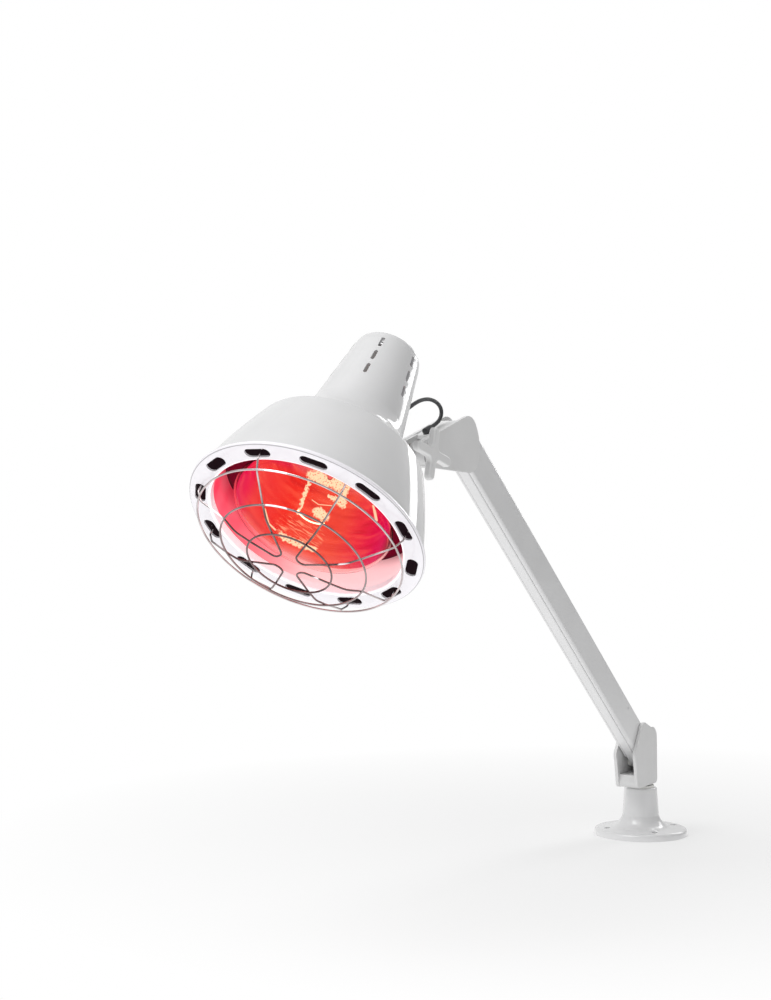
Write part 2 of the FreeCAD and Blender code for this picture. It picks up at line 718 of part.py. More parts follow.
def make_upper_knuckle():
    drop = -S.pivot_spacing
    pins = ((0.0, 0.0), (0.0, drop))
    for end, side in SIDES.items():
        label = "upper_knuckle_" + end
        body = half_knuckle(label, end, upper_outline, (upper_roof, 0.0), (upper_nose, S.lug_half + 1.05))
        for pin in pins:
            drill(body, side, S.slot_half - 0.5, pin, S.pin_r, 2.0)
        drill(body, side, 0.0, (S.tilt_ahead, -S.tilt_below), S.bolt_r, 20.0)
        socket = circle(sketch_on(body, "XY_Plane", Placement(Vector(0, 0, -10.0), Rotation())),
                        (BOOT_FOOT, 0.0), BOOT_FOOT_R)
        entry = feature_of(body, "Pocket", socket, Length=10.0)
        entry.Reversed = True
        doc.recompute()
        body.Tip = entry
        keep(body, label, upper_frame)


def make_lower_knuckle():
    drop = -S.pivot_spacing
    pins = ((0.0, 0.0), (0.0, drop))
    for end, side in SIDES.items():
        label = "lower_knuckle_" + end
        body = half_knuckle(label, end, lower_outline, (lower_block, 0.0))
        for pin in pins:
            drill(body, side, S.slot_half - 0.5, pin, S.pin_r, 2.0)
        spigot = circle(sketch_on(body, "XY_Plane", Placement(Vector(0, 0, -44.5), Rotation())),
                        (-S.swivel_to_pivot, 0.0), S.spigot_r)
        socket = feature_of(body, "Pocket", spigot, Length=12.5)
        socket.Reversed = True
        doc.recompute()
        lead = circle(sketch_on(body, "YZ_Plane", Placement(Vector(0, 0, -25.0), Rotation())), (0.0, -12.0),
                      4.6)
        outlet = feature_of(body, "Pocket", lead, Length=14.0)
        outlet.Reversed = True
        doc.recompute()
        body.Tip = outlet
        keep(body, label, lower_frame)


def make_pins():
    """Pivot pins with the washers that centre the lower link."""
    reach = S.slot_half + 1.5
    for knuckle, frame in (("upper", upper_frame), ("lower", lower_frame)):
        for pin, height in (("arm", 0.0), ("link", -S.pivot_spacing.value)):
            label = knuckle + "_" + pin + "_pin"
            keep(cylinder(S.pin_r, reach * 2), label, crosswise(frame, (0, height), -reach.value))
        rings = []
        wide = S.slot_half - S.lower_half - 0.35
        for start in (S.lower_half.value + 0.2, -S.slot_half.value + 0.15):
            cut = doc.addObject("Part::Cut", "Washer")
            cut.Base = cylinder(S.pin_r + 2.4, wide)
            cut.Tool = cylinder(S.pin_r + 0.02, wide)
            cut.Placement = crosswise(frame, (0, -S.pivot_spacing.value), start)
            rings.append(cut)
        several(knuckle + "_link_washers", rings)


def make_knuckle_screws():
    """Heads of the screws that hold the halves together, on the far side."""
    for label, frame, spots in (("upper_knuckle_screws", upper_frame, ((48.0, -9.0), (48.0, -26.0))),
                                ("lower_knuckle_screws", lower_frame, ((16.0, -37.5), (-18.0, -2.0)))):
        heads = []
        for spot in spots:
            heads.append(cylinder(3.2, 1.6, crosswise(frame, spot, -S.knuckle_half.value - 1.6)))
        several(label, heads)


# ---------------------------------------------------------------- arm

HEM_R = 2.8


def channel(label, half, above, below, wall, corner, web_on_top, hem=None):
    """Folded channel along +X; its web is on top or below, and a hem may turn its edges inwards."""
    body = doc.addObject("PartDesign::Body", label)
    flip = 1 if web_on_top else -1
    web = above if web_on_top else below
    edge = below if web_on_top else above
    side = -flip
    web_y, edge_y = web * flip, edge * -flip
    web_points = [
        (half, web_y - corner * flip), (half - corner, web_y, corner, -side), (-half + corner, web_y),
        (-half, web_y - corner * flip, corner, -side)]
    inner_points = [
        (-half + wall, web_y - corner * flip),
        (-half + corner, web_y - wall * flip, corner - number(wall), side),
        (half - corner, web_y - wall * flip),
        (half - wall, web_y - corner * flip, corner - number(wall), side)]
    if hem is None:
        outline_points = [(half, edge_y)] + web_points + [(-half, edge_y), (-half + wall, edge_y)]
        outline_points += inner_points + [(half - wall, edge_y)]
    else:
        bend_y, lip_y = edge_y + HEM_R * flip, edge_y + wall * flip
        bend, inner_bend = HEM_R, HEM_R - number(wall)
        outline_points = [(half - hem, edge_y), (half - bend, edge_y),
                          (half, bend_y, bend, -side)] + web_points
        outline_points += [(-half, bend_y), (-half + bend, edge_y, bend, -side), (-half + hem, edge_y),
                           (-half + hem, lip_y), (-half + bend, lip_y),
                           (-half + wall, bend_y, inner_bend, side)]
        outline_points += inner_points
        outline_points += [(half - wall, bend_y), (half - bend, lip_y, inner_bend, side), (half - hem, lip_y)]
    sketch = outline(sketch_on(body, "YZ_Plane", Placement(Vector(0, 0, -12), Rotation())), *outline_points)
    feature_of(body, "Pad", sketch, Length=S.arm_length + 24)
    doc.recompute()
    return body


def make_upper_channel():
    top, low = S.upper_above, -S.upper_below
    length = S.arm_length
    body = channel("upper_channel", S.upper_half, top, S.upper_below, S.upper_wall, 2.6, True, S.upper_hem)
    lower_end = outline(sketch_on(body), (-14.0, 13.0), (-14.0, low - 2.0), (5.0, low - 2.0), (5.0, -top),
                        (0.0, -top),
                        (-top, 0.0, top, -1), (0.0, top, top, -1), (0.0, 13.0))
    upper_end = outline(sketch_on(body), (length + 14.0, 13.0), (length, 13.0), (length, top),
                        (length + top, 0.0, top, -1), (length, -top, top, -1), (length - top, 0.0, top, -1),
                        (length - 17.7, -2.6), (length - 24.4, -6.4), (length - 24.4, low - 2.0),
                        (length + 14.0, low - 2.0))
    for end in (lower_end, upper_end):
        cut = feature_of(body, "Pocket", end, Length=30.0)
        cut.SideType = "Symmetric"
    doc.recompute()
    for centre in ((0.0, 0.0), (length, 0.0)):
        cross_hole(body, centre, S.pin_r + S.running_gap)
    cross_hole(body, (60.0, 3.6), 1.5)
    keep(body, "upper_channel", arm_frame)


def make_lower_channel():
    top, low = S.lower_above, -S.lower_below
    length = S.arm_length
    body = channel("lower_channel", S.lower_half, top, S.lower_below, S.lower_wall, 1.3, False)
    upper_end = outline(sketch_on(body), (length + 14.0, 7.0), (length, 7.0), (length, top),
                        (length + 5.8, 0.0, 6.2, -1), (length, low, 8.2, -1), (length, low - 2.0),
                        (length + 14.0, low - 2.0))
    lower_end = outline(sketch_on(body), (-14.0, 7.0), (-14.0, low - 2.0), (0.0, low - 2.0), (0.0, low),
                        (-5.8, 0.0, 8.2, -1), (0.0, top, 6.2, -1), (0.0, 7.0))
    for end in (upper_end, lower_end):
        cut = feature_of(body, "Pocket", end, Length=30.0)
        cut.SideType = "Symmetric"
    doc.recompute()
    cross_hole(body, (0.0, 0.0), S.pin_r + S.running_gap)
    cross_hole(body, (length, 0.0), S.pin_r + 0.5)
    cross_hole(body, (length - 60.0, 0.4), 1.5)
    keep(body, "lower_channel", link_frame)


def cross_hole(body, centre, radius):
    hole = feature_of(body, "Pocket", circle(sketch_on(body), centre, radius), Length=30.0)
    hole.SideType = "Symmetric"
    doc.recompute()
    body.Tip = hole


SPRING_R = 3.3
SPRING_HOOK_R = 0.8
SPRING_EYE_R = 2.4
SPRING_COILS = 34
SPRING_PITCH = 3.2


def make_spring():
    """Tension spring between a pin in each channel: close coils with a long hook at each end."""
    upper_half, lower_half = S.upper_half.value, S.lower_half.value
    low_pin = (60.0, 3.6)
    high_pin = (S.arm_length.value - 60.0, 0.4)
    keep(cylinder(1.5, upper_half * 2), "upper_spring_pin", crosswise(arm_frame, low_pin, -upper_half))
    keep(cylinder(1.5, lower_half * 2), "lower_spring_pin", crosswise(link_frame, high_pin, -lower_half))
    low = arm_frame.multVec(Vector(low_pin[0], 0, low_pin[1]))
    high = link_frame.multVec(Vector(high_pin[0], 0, high_pin[1]))
    span = high - low
    place = Placement(low, Rotation(Vector(0, 0, 1), span))
    coils = SPRING_COILS * SPRING_PITCH
    bottom = (span.Length - coils) / 2
    stem = SPRING_EYE_R + SPRING_HOOK_R
    steps = []
    for coil in range(SPRING_COILS):
        height = bottom + SPRING_PITCH * coil
        steps.append((SPRING_R, height + SPRING_PITCH / 2))
        steps.append((SPRING_R - 1.2, height + SPRING_PITCH))
    turned("balance_spring", place, (0.0, stem), (SPRING_HOOK_R, stem), (SPRING_HOOK_R, bottom - 3.0),
           (SPRING_R - 1.2, bottom), *steps, (SPRING_HOOK_R, bottom + coils + 3.0),
           (SPRING_HOOK_R, span.Length - stem), (0.0, span.Length - stem))
    hooks = []
    for height in (0.0, span.Length):
        ring = doc.addObject("Part::Torus", "Hook")
        ring.Radius1 = SPRING_EYE_R
        ring.Radius2 = SPRING_HOOK_R
        ring.Placement = place * Placement(Vector(0, 0, height), Rotation(Vector(1, 0, 0), 90))
        hooks.append(ring)
    several("spring_hooks", hooks)


# ---------------------------------------------------------------- base

STOP_REACH = 30.0
STOP_HEIGHT = 35.0
STOP_R = 2.5


def make_base():
    foot = S.foot_r
    boss = S.boss_r
    top = S.boss_top
    body = doc.addObject("PartDesign::Body", "mounting_foot")
    side = outline(
        sketch_on(body), (S.bush_r, 0.0), (foot, 0.0), (foot, 3.5), (foot - 3.5, S.foot_thick, 3.5, 1),
        (boss + 14.0, S.foot_thick + 1.5), (boss + 2.0, 20.0, 16.0, -1), (boss, top - 2.0),
        (boss - 2.0, top, 2.0, 1),
        (S.bush_r, top))
    revolve(body, side)
    doc.recompute()
    for sign in (-1, 1):
        for other in (-1, 1):
            centre = (S.foot_hole_circle_r * (sign * math.sqrt(0.5)),
                      S.foot_hole_circle_r * (other * math.sqrt(0.5)))
            hole = feature_of(body, "Pocket", circle(sketch_on(body, "XY_Plane"), centre, S.foot_hole_r),
                              Length=30.0)
            hole.SideType = "Symmetric"
    doc.recompute()
    thread = circle(sketch_on(body, "YZ_Plane"), (0.0, STOP_HEIGHT), STOP_R)
    feature_of(body, "Pocket", thread, Length=STOP_REACH)
    doc.recompute()
    keep(body, "mounting_foot")
    bush = S.bush_r
    pin = S.spigot_r + S.running_gap
    turned("swivel_bush", Placement(), (pin, 3.0), (bush, 3.0), (bush, top), (bush + 6.0, top),
           (bush + 6.0, top + 2.2), (pin, top + 2.2))
    spigot = S.spigot_r
    bottom = S.pivot_height - 44.0
    turned("swivel_spigot", Placement(), (0.0, 6.0), (spigot - 1.5, 6.0), (spigot, 7.5),
           (spigot, bottom + 12.0),
           (0.0, bottom + 12.0))
    place = crosswise_x(Placement(), -STOP_REACH, STOP_HEIGHT)
    tip = STOP_REACH - 8.2
    turned("swivel_stop_screw", place, (0.0, 0.0), (4.5, 0.0), (4.5, 4.0), (STOP_R, 4.0), (STOP_R, tip),
           (0.0, tip))
    lead = crosswise_x(lower_frame, -25.3, -12.0)
    turned("mains_grommet", lead, (2.4, 0.0), (5.6, 0.0), (6.2, 0.6), (6.2, 1.8), (4.6, 1.8), (4.6, 8.0),
           (2.4, 8.0))


def crosswise_x(place, x, z):
    """A frame at a point of another frame whose Z runs along +X."""
    return place * Placement(Vector(x, 0, z), Rotation(Vector(0, 1, 0), 90))


# ---------------------------------------------------------------- head cable

# Places about the upper pivot, as (ahead of it, above it). The boot stands on the knuckle's roof,
# and the cable goes from it back, up and over in one loop to the grommet in the neck.
BOOT_END = (59.0, -0.75)
CABLE_ROUTE = ((48.3, 3.0), (41.3, 5.45), (34.6, 8.7), (30.2, 13.6), (30.6, 19.0), (35.6, 22.9), (43.6, 25.4),
               (53.5, 26.2), (64.0, 25.0), (73.5, 22.4), (84.5, 18.0), (94.5, 13.6))
LAST_RUN = 6.5


def make_cable_boot():
    """Moulded sleeve round the cable's start, with a foot that plugs into the knuckle's roof."""
    body = doc.addObject("PartDesign::Body", "cable_boot")
    back, up = CABLE_ROUTE[0][0] - BOOT_END[0], CABLE_ROUTE[0][1] - BOOT_END[1]
    length = math.hypot(back, up)
    lean = Placement(Vector(BOOT_END[0], BOOT_END[1], 0),
                     Rotation(Vector(0, 0, 1), math.degrees(math.atan2(-back, up))))
    revolve(body, outline(
        sketch_on(body, "XZ_Plane", lean), (0.0, 0.0), (2.1, 0.0), (2.6, 0.5, 0.5, 1), (2.6, length - 4.0),
        (2.1, length), (0.0, length)))
    foot_low = Placement(Vector(0, 0, -8.0), Rotation())
    foot = circle(sketch_on(body, "XY_Plane", foot_low), (BOOT_FOOT, 0.0), BOOT_FOOT_R - 0.05)
    feature_of(body, "Pad", foot, Length=7.4)
    doc.recompute()
    keep(body, "cable_boot", upper_frame)


def make_cable():
    """Cable from the boot to the neck: straight runs joined by arcs as large as the runs allow."""
    points = [upper_pivot + Vector(ahead, 0, above) for ahead, above in CABLE_ROUTE]
    points += [grommet_frame.multVec(Vector(0, 0, GROMMET_OUT + run)) for run in (LAST_RUN, 0)]
    radii = []
    for before, corner, after in zip(points, points[1:], points[2:]):
        run = min((corner - before).Length, (after - corner).Length)
        half_turn = (math.pi - (before - corner).getAngle(after - corner)) / 2
        radii.append(0.45 * run / math.tan(half_turn))
    path = rounded_path(points, radii)
    cable = round_bar(path, S.cable_r.value)
    solid("head_cable", cable)
    section = math.pi * S.cable_r.value ** 2
    print("cable length", round(path.Length, 1), "radii", [round(radius, 1) for radius in radii])
    print("cable volume over section times length", round(cable.Volume / (section * path.Length), 4))


make_shade()
make_vent_ring()
make_inner_reflector()
make_neck_cap()
make_guard()
make_lamp()
make_lampholder()
make_tilt_bracket()
make_tilt_clamp()
make_knob()
make_upper_knuckle()
make_lower_knuckle()
make_pins()
make_knuckle_screws()
make_upper_channel()
make_lower_channel()
make_spring()
make_base()
make_cable_boot()
make_cable()

doc.recompute()
faults = [item.Label for item in doc.Objects if "Invalid" in item.State or "Error" in item.State]
for item in made:
    if item.Shape.isNull() or not item.Shape.isValid() or not item.Shape.Solids:
        faults.append(item.Label)
if faults:
    raise RuntimeError("not built: " + ", ".join(faults))
labels = [item.Label for item in made]
if len(set(labels)) != len(labels):
    raise RuntimeError("a name is used twice")
os.makedirs("parts", exist_ok=True)
for item in made:
    item.Shape.exportStep("parts/" + item.Label + ".step")
print(len(made), "parts written")
print("upper pivot", upper_pivot, "tilt axis", tilt_axis, "rim centre", rim_centre)
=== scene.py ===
import math

import bmesh
import bpy
from mathutils import Matrix, Vector


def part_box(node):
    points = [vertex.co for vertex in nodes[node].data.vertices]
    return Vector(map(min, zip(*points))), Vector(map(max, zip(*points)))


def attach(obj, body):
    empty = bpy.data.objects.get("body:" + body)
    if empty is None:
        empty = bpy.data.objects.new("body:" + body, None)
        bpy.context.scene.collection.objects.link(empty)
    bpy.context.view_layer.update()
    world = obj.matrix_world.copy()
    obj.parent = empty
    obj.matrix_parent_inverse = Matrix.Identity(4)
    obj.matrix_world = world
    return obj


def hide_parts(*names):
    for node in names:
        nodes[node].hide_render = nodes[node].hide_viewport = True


# Infrared heat lamp on a balanced swing arm. Metres, +Z up, +X the way the lamp faces,
# +Y the side of the cross knob, origin in the middle of the foot's underside.

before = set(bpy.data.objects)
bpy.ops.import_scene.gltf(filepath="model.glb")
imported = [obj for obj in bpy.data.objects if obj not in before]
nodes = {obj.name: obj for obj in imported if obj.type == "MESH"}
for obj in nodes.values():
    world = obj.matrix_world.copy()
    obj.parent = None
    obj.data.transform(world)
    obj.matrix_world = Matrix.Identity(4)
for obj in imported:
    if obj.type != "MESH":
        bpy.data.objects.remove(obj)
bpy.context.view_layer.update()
MM = 0.001
KNOB_SIDE = Vector((0, 1, 0))
WHITE = (1, 1, 1)


# ---------------------------------------------------------------- places taken from the frame

def centre(node):
    low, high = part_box(node)
    return (low + high) / 2


def frame_at(place, along):
    """A matrix at a place whose Z runs along a direction and whose Y stays near the knob's side."""
    up = along.normalized()
    ahead = KNOB_SIDE.cross(up).normalized()
    across = up.cross(ahead)
    turn = Matrix((ahead, across, up)).transposed().to_4x4()
    return Matrix.Translation(place) @ turn


# the guard's outer ring stands this far ahead of the shade's rim
GUARD_OUT = 17.2 * MM
INTO_NECK = (centre("guard_ring_outer") - centre("guard_ring_inner")).normalized()
RIM = centre("guard_ring_outer") + INTO_NECK * GUARD_OUT
# X runs up across the mouth, Y towards the knob's side and Z from the rim into the neck
HEAD = frame_at(RIM, INTO_NECK)


# ---------------------------------------------------------------- objects and meshes

MERGE_DISTANCE = 0.005 * MM


def linked(name, data):
    """A new object of the scene that holds a mesh, a curve, a lamp or a camera."""
    thing = bpy.data.objects.new(name, data)
    bpy.context.scene.collection.objects.link(thing)
    return thing


def meshed(name, shape):
    """Turns a bmesh into a mesh."""
    mesh = bpy.data.meshes.new(name)
    shape.normal_update()
    shape.to_mesh(mesh)
    shape.free()
    return mesh


def dressed(piece, body, finish):
    """Gives a piece of the lamp its finish and lets it ride on a body."""
    piece.data.materials.append(finish)
    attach(piece, body)
    return piece


def finished(name, shape, body, finish):
    """Turns a bmesh into a smooth piece of the lamp that rides on a body."""
    piece = dressed(linked(name, meshed(name, shape)), body, finish)
    piece.data.shade_smooth()
    return piece


def spin(shape, geometry, angle, steps, rise=0.0):
    """Spins geometry about the Z axis through the origin, each step a little higher by the rise."""
    bmesh.ops.spin(shape, geom=geometry, cent=(0, 0, 0), axis=(0, 0, 1), angle=angle, steps=steps,
                   dvec=(0, 0, rise), use_merge=(angle == math.tau))


def spun(profile, place, steps=96):
    """Closed profile of (radius, depth) points in millimetres, spun about the Z axis of a frame."""
    shape = bmesh.new()
    corners = [shape.verts.new((radius * MM, 0, depth * MM)) for radius, depth in profile]
    edges = [shape.edges.new(pair) for pair in zip(corners, corners[1:] + corners[:1])]
    spin(shape, corners + edges, math.tau, steps)
    bmesh.ops.remove_doubles(shape, verts=shape.verts, dist=MERGE_DISTANCE)
    bmesh.ops.recalc_face_normals(shape, faces=shape.faces)
    bmesh.ops.transform(shape, matrix=place, verts=shape.verts)
    return shape


def coiled(wire_r, sides, start, angle, steps, rise=0.0):
    """Round wire wound about the Z axis; start is the matrix that takes its first end into place."""
    shape = bmesh.new()
    ring = bmesh.ops.create_circle(shape, radius=wire_r, segments=sides)["verts"]
    upright = Matrix.Rotation(math.pi / 2, 4, "X")
    bmesh.ops.transform(shape, matrix=start @ upright, verts=ring)
    spin(shape, ring + shape.edges[:], angle, steps, rise)
    return shape


def arc(start, end, radius, count, side=1):
    """Points of an arc from start to end, without its first point; side picks the way it bulges."""
    start, end = Vector(start), Vector(end)
    middle = (start + end) / 2
    half = (end - start).length / 2
    away = Vector((start.y - end.y, end.x - start.x)).normalized() * side
    hub = middle - away * math.sqrt(max(radius * radius - half * half, 0))
    first = (start - hub).to_3d()
    last = (end - hub).to_3d()
    sweep = first.angle(last) * (1 if first.cross(last).z > 0 else -1)
    points = []
    for step in range(1, count + 1):
        turned = Matrix.Rotation(sweep * step / count, 2) @ first.to_2d()
        points.append(tuple(hub + turned))
    return points


# ---------------------------------------------------------------- node trees

# a noise hardly leaves this range
NOISE_RANGE = (0.3, 0.7)
# shares of the roughness where wear makes a finish brighter and duller
WORN_SMOOTH, WORN_ROUGH = 0.85, 1.2
# a stroke starts to fade and is gone at these shares of its half width
STROKE_SOLID, STROKE_GONE = 0.75, 1.25
# ways of the flat pattern on the head's frame: right and up, as the mouth is seen from the knob's side
PATTERN_RIGHT = (-0.379, 0.863, 0.335)
PATTERN_UP = (0.662, 0.0, 0.749)
PATTERN_DEPTH = 12 * MM


class Nodes:
    """A node tree, with short ways to add nodes and to feed them."""

    def __init__(self, tree):
        self.tree = tree

    def add(self, kind, *sources, **settings):
        """Adds a node, gives it its settings and feeds its first inputs."""
        node = self.tree.nodes.new(kind)
        for setting, value in settings.items():
            setattr(node, setting, value)
        for socket, source in enumerate(sources):
            self.feed(node, socket, source)
        return node

    def feed(self, node, socket, source):
        """Gives a node's input a value or the output of another node; a colour is three numbers."""
        entry = node.inputs[socket]
        if isinstance(source, bpy.types.NodeSocket):
            self.tree.links.new(source, entry)
        elif entry.type == "RGBA":
            entry.default_value = (*source, 1)
        else:
            entry.default_value = source

    def math(self, operation, *sources):
        return self.add("ShaderNodeMath", *sources, operation=operation).outputs[0]

    def times(self, first, second):
        return self.math("MULTIPLY", first, second)

    def vector(self, operation, first, second):
        return self.add("ShaderNodeVectorMath", first, second, operation=operation).outputs["Vector"]

    def dot(self, first, second):
        return self.add("ShaderNodeVectorMath", first, second, operation="DOT_PRODUCT").outputs["Value"]

    def distance(self, first, second):
        return self.add("ShaderNodeVectorMath", first, second, operation="DISTANCE").outputs["Value"]

    def combined(self, *parts):
        return self.add("ShaderNodeCombineXYZ", *parts).outputs[0]

    def spread(self, value, low, high, new_low=0.0, new_high=1.0, kind="LINEAR"):
        """Carries the range from low to high over to a new range, and stays inside it."""
        sources = (value, low, high, new_low, new_high)
        return self.add("ShaderNodeMapRange", *sources, interpolation_type=kind).outputs[0]

    def smooth(self, value, low, high, new_low=0.0, new_high=1.0):
        """Like spread, with a smooth rise; low may be higher than high."""
        return self.spread(value, low, high, new_low, new_high, "SMOOTHSTEP")

    def mix(self, factor, first, second):
        """The first colour where the factor is 0 and the second where it is 1."""
        node = self.add("ShaderNodeMix", data_type="RGBA")
        for socket, source in (("Factor", factor), ("A", first), ("B", second)):
            self.feed(node, socket, source)
        return node.outputs["Result"]


class Finish(Nodes):
    """A material and the nodes that feed its shader."""

    def __init__(self, name, colour, roughness, metallic=0.0):
        self.material = bpy.data.materials.new(name)
        self.material.use_nodes = True
        super().__init__(self.material.node_tree)
        self.shader = self.tree.nodes["Principled BSDF"]
        self.colour = colour
        self.roughness = roughness
        self.set("Base Color", colour)
        self.set("Roughness", roughness)
        self.set("Metallic", metallic)

    def set(self, socket, source):
        """Gives an input of the shader a value or the output of a node."""
        self.feed(self.shader, socket, source)

    def painted(self):
        """The output that has fed the base colour so far."""
        return self.shader.inputs["Base Color"].links[0].from_socket

    def place(self):
        return self.add("ShaderNodeTexCoord").outputs["Object"]

    def normal(self):
        return self.add("ShaderNodeTexCoord").outputs["Normal"]

    def head_place(self):
        """Object coordinates on the head's frame."""
        node = self.add("ShaderNodeMapping", self.place(), vector_type="TEXTURE")
        self.feed(node, "Location", HEAD.to_translation())
        self.feed(node, "Rotation", HEAD.to_euler())
        return node.outputs[0]

    def polar(self):
        """Places across the mouth, radius about the bulb's axis and depth behind the rim."""
        across, side, depth = self.add("ShaderNodeSeparateXYZ", self.head_place()).outputs
        squares = self.math("ADD", self.times(across, across), self.times(side, side))
        return across, side, self.math("SQRT", squares), depth

    def flat_pattern(self):
        """Places on a flat pattern across the mouth, right and up of the bulb's axis."""
        level = self.vector("SUBTRACT", self.head_place(), (0, 0, PATTERN_DEPTH))
        return self.combined(self.dot(level, PATTERN_RIGHT), self.dot(level, PATTERN_UP))

    def outward(self):
        """1 on faces that look away from the middle of the shade's mouth, 0 on those that look at it."""
        way = self.vector("SUBTRACT", self.place(), RIM)
        return self.math("GREATER_THAN", self.dot(self.normal(), way), 0.0)

    def stroke(self, spot, start, end, half):
        """1 near the line between two places in millimetres on the flat pattern, 0 away from it."""
        start = Vector((*start, 0)) * MM
        run = Vector((*end, 0)) * MM - start
        offset = self.vector("SUBTRACT", spot, start)
        along = self.dot(offset, run)
        share = self.add("ShaderNodeMath", along, run.length_squared, operation="DIVIDE", use_clamp=True)
        away = self.distance(offset, self.vector("MULTIPLY", run, share.outputs[0]))
        return self.smooth(away, half * STROKE_GONE * MM, half * STROKE_SOLID * MM)

    def strokes(self, spot, marks):
        """Several strokes together, each with its start, its end and its half width."""
        seen = 0.0
        for mark in marks:
            seen = self.math("MAXIMUM", self.stroke(spot, *mark), seen)
        return seen

    def noise(self, scale, detail=2.0, where=None, distortion=0.0):
        node = self.add("ShaderNodeTexNoise", where or self.place())
        for socket, value in (("Scale", scale), ("Detail", detail), ("Distortion", distortion)):
            self.feed(node, socket, value)
        return node.outputs["Fac"]

    def varied(self, noise, low, high):
        """A noise spread between two values."""
        return self.spread(noise, *NOISE_RANGE, low, high)

    def ramp(self, factor, *stops):
        """Colour ramp with (position, colour) stops."""
        node = self.add("ShaderNodeValToRGB", factor)
        elements = node.color_ramp.elements
        while len(elements) < len(stops):
            elements.new(0.5)
        for element, (position, colour) in zip(elements, stops):
            element.position = position
            element.color = (*colour, 1)
        return node.outputs["Color"]

    def bump(self, height, depth, strength):
        """Bump of a depth in millimetres."""
        node = self.add("ShaderNodeBump")
        for socket, source in (("Height", height), ("Distance", depth * MM), ("Strength", strength)):
            self.feed(node, socket, source)
        self.set("Normal", node.outputs[0])

    def wear(self, change, scale):
        """Faint patchy change of the base colour and of the roughness."""
        dull = tuple(channel * (1 - change) for channel in self.colour)
        bright = tuple(min(channel * (1 + change), 1) for channel in self.colour)
        patches = self.noise(scale, detail=4.0)
        self.set("Base Color", self.ramp(patches, (0.35, dull), (0.65, bright)))
        smooth, rough = self.roughness * WORN_SMOOTH, self.roughness * WORN_ROUGH
        self.set("Roughness", self.varied(patches, smooth, rough))


# ---------------------------------------------------------------- enamel and plastic

SHADE_GREY = (0.74, 0.74, 0.745)
ARM_GREY = (0.72, 0.72, 0.725)
# painted shade of the dark air duct between the shade and the wall round the bulb
DUCT_SHADE = (0.008, 0.007, 0.008)
# depths behind the rim between which the air duct ends and the neck starts
DUCT_END = (30 * MM, 36 * MM)
NECK_START = (95 * MM, 105 * MM)
# the dark line on the vent ring's face, and the distances from it at which it is gone and full
SEAM_R = 92.6 * MM
SEAM_FADE = (0.5 * MM, 0.1 * MM)
# the ring's face lies ahead of this depth, and its bore inside this radius
FACE_DEPTH = -2.2 * MM
BORE_R = 78.4 * MM
# painted light on the ring's face, growing towards its top
FACE_RISE = (-20 * MM, 80 * MM)
FACE_PAINTED_LIGHT = 0.11
# the wall round the bulb takes painted pink light of the bulb; on its left, as the mouth is seen from the
# knob's side, the pink starts nearer the rim
LEFT_WAY = (0.25, -1, 0)
LEFT_REACH = 80 * MM
PINK_LEAD = 12.5 * MM
PINK_START = (-10 * MM, 14 * MM)
# painted shadow behind the bulb's upper side
SHADOW_START = (13 * MM, 30 * MM)
SHADOW_RISE = (-40 * MM, -15 * MM)
SHADOW_SHARE = (0.85, 0.45)
# how squarely a face looks sideways where a moulded edge starts to round off and where it ends, for the
# painted highlight along rounded edges, and its palest
EDGE_START = (0.97, 0.85)
EDGE_END = (0.1, 0.4)
PALEST = 0.95


def enamel(name, colour, roughness=0.42):
    """Baked gloss enamel: a clear skin with a faint orange peel."""
    finish = Finish(name, colour, roughness)
    finish.wear(change=0.015, scale=25)
    finish.set("Coat Weight", 1.0)
    finish.set("Coat Roughness", 0.03)
    finish.bump(finish.noise(420, detail=1.5), depth=0.012, strength=0.5)
    return finish


def shade_finish(name):
    """Enamel outside; inside, painted light and shade: dark shade in the duct round the mouth, red light of
    the bulb behind it and pale light in the neck.
    """
    finish = enamel(name, SHADE_GREY)
    outward = finish.outward()
    depth = finish.polar()[3]
    past_duct = finish.smooth(depth, *DUCT_END)
    neck = finish.smooth(depth, *NECK_START)
    # painted shade in the duct, and painted red light of the bulb past it
    inside = finish.mix(past_duct, DUCT_SHADE, (0.16, 0.006, 0.03))
    inside = finish.mix(neck, inside, (0.22, 0.22, 0.22))
    smoke = finish.varied(finish.noise(70, detail=3.0), 0.0, 0.15)
    inside = finish.mix(smoke, inside, (0.02, 0.018, 0.02))
    finish.set("Base Color", finish.mix(outward, inside, finish.painted()))
    # painted glow on the inner faces: red light of the bulb past the duct, pale light in the neck
    glow = finish.mix(past_duct, (0.06, 0.03, 0.04), (0.25, 0.0, 0.04))
    finish.set("Emission Color", finish.mix(neck, glow, (0.9, 0.9, 0.92)))
    inward = finish.math("SUBTRACT", 1.0, outward)
    finish.set("Emission Strength", finish.times(inward, 0.18))
    finish.set("Coat Weight", outward)
    return finish.material


def ring_finish(name):
    """Lilac-white enamel; a dark line where the rolled rim meets the face, and painted light on the bore
    and on the face towards its top.
    """
    finish = enamel(name, (0.95, 0.93, 0.975), roughness=0.3)
    across, _, radius, depth = finish.polar()
    from_seam = finish.math("ABSOLUTE", finish.math("SUBTRACT", radius, SEAM_R))
    on_face = finish.math("LESS_THAN", depth, FACE_DEPTH)
    seam = finish.times(finish.smooth(from_seam, *SEAM_FADE), on_face)
    finish.set("Base Color", finish.mix(seam, finish.painted(), (0.42, 0.41, 0.43)))
    # painted light: the bore glows as if lit by the bulb, the face a little towards its top
    inward = finish.math("SUBTRACT", 1.0, finish.outward())
    bore = finish.times(finish.math("LESS_THAN", radius, BORE_R), inward)
    face = finish.smooth(across, *FACE_RISE, 0.0, FACE_PAINTED_LIGHT)
    finish.set("Emission Color", (0.50, 0.45, 0.47))
    finish.set("Emission Strength", finish.math("MAXIMUM", bore, face))
    return finish.material


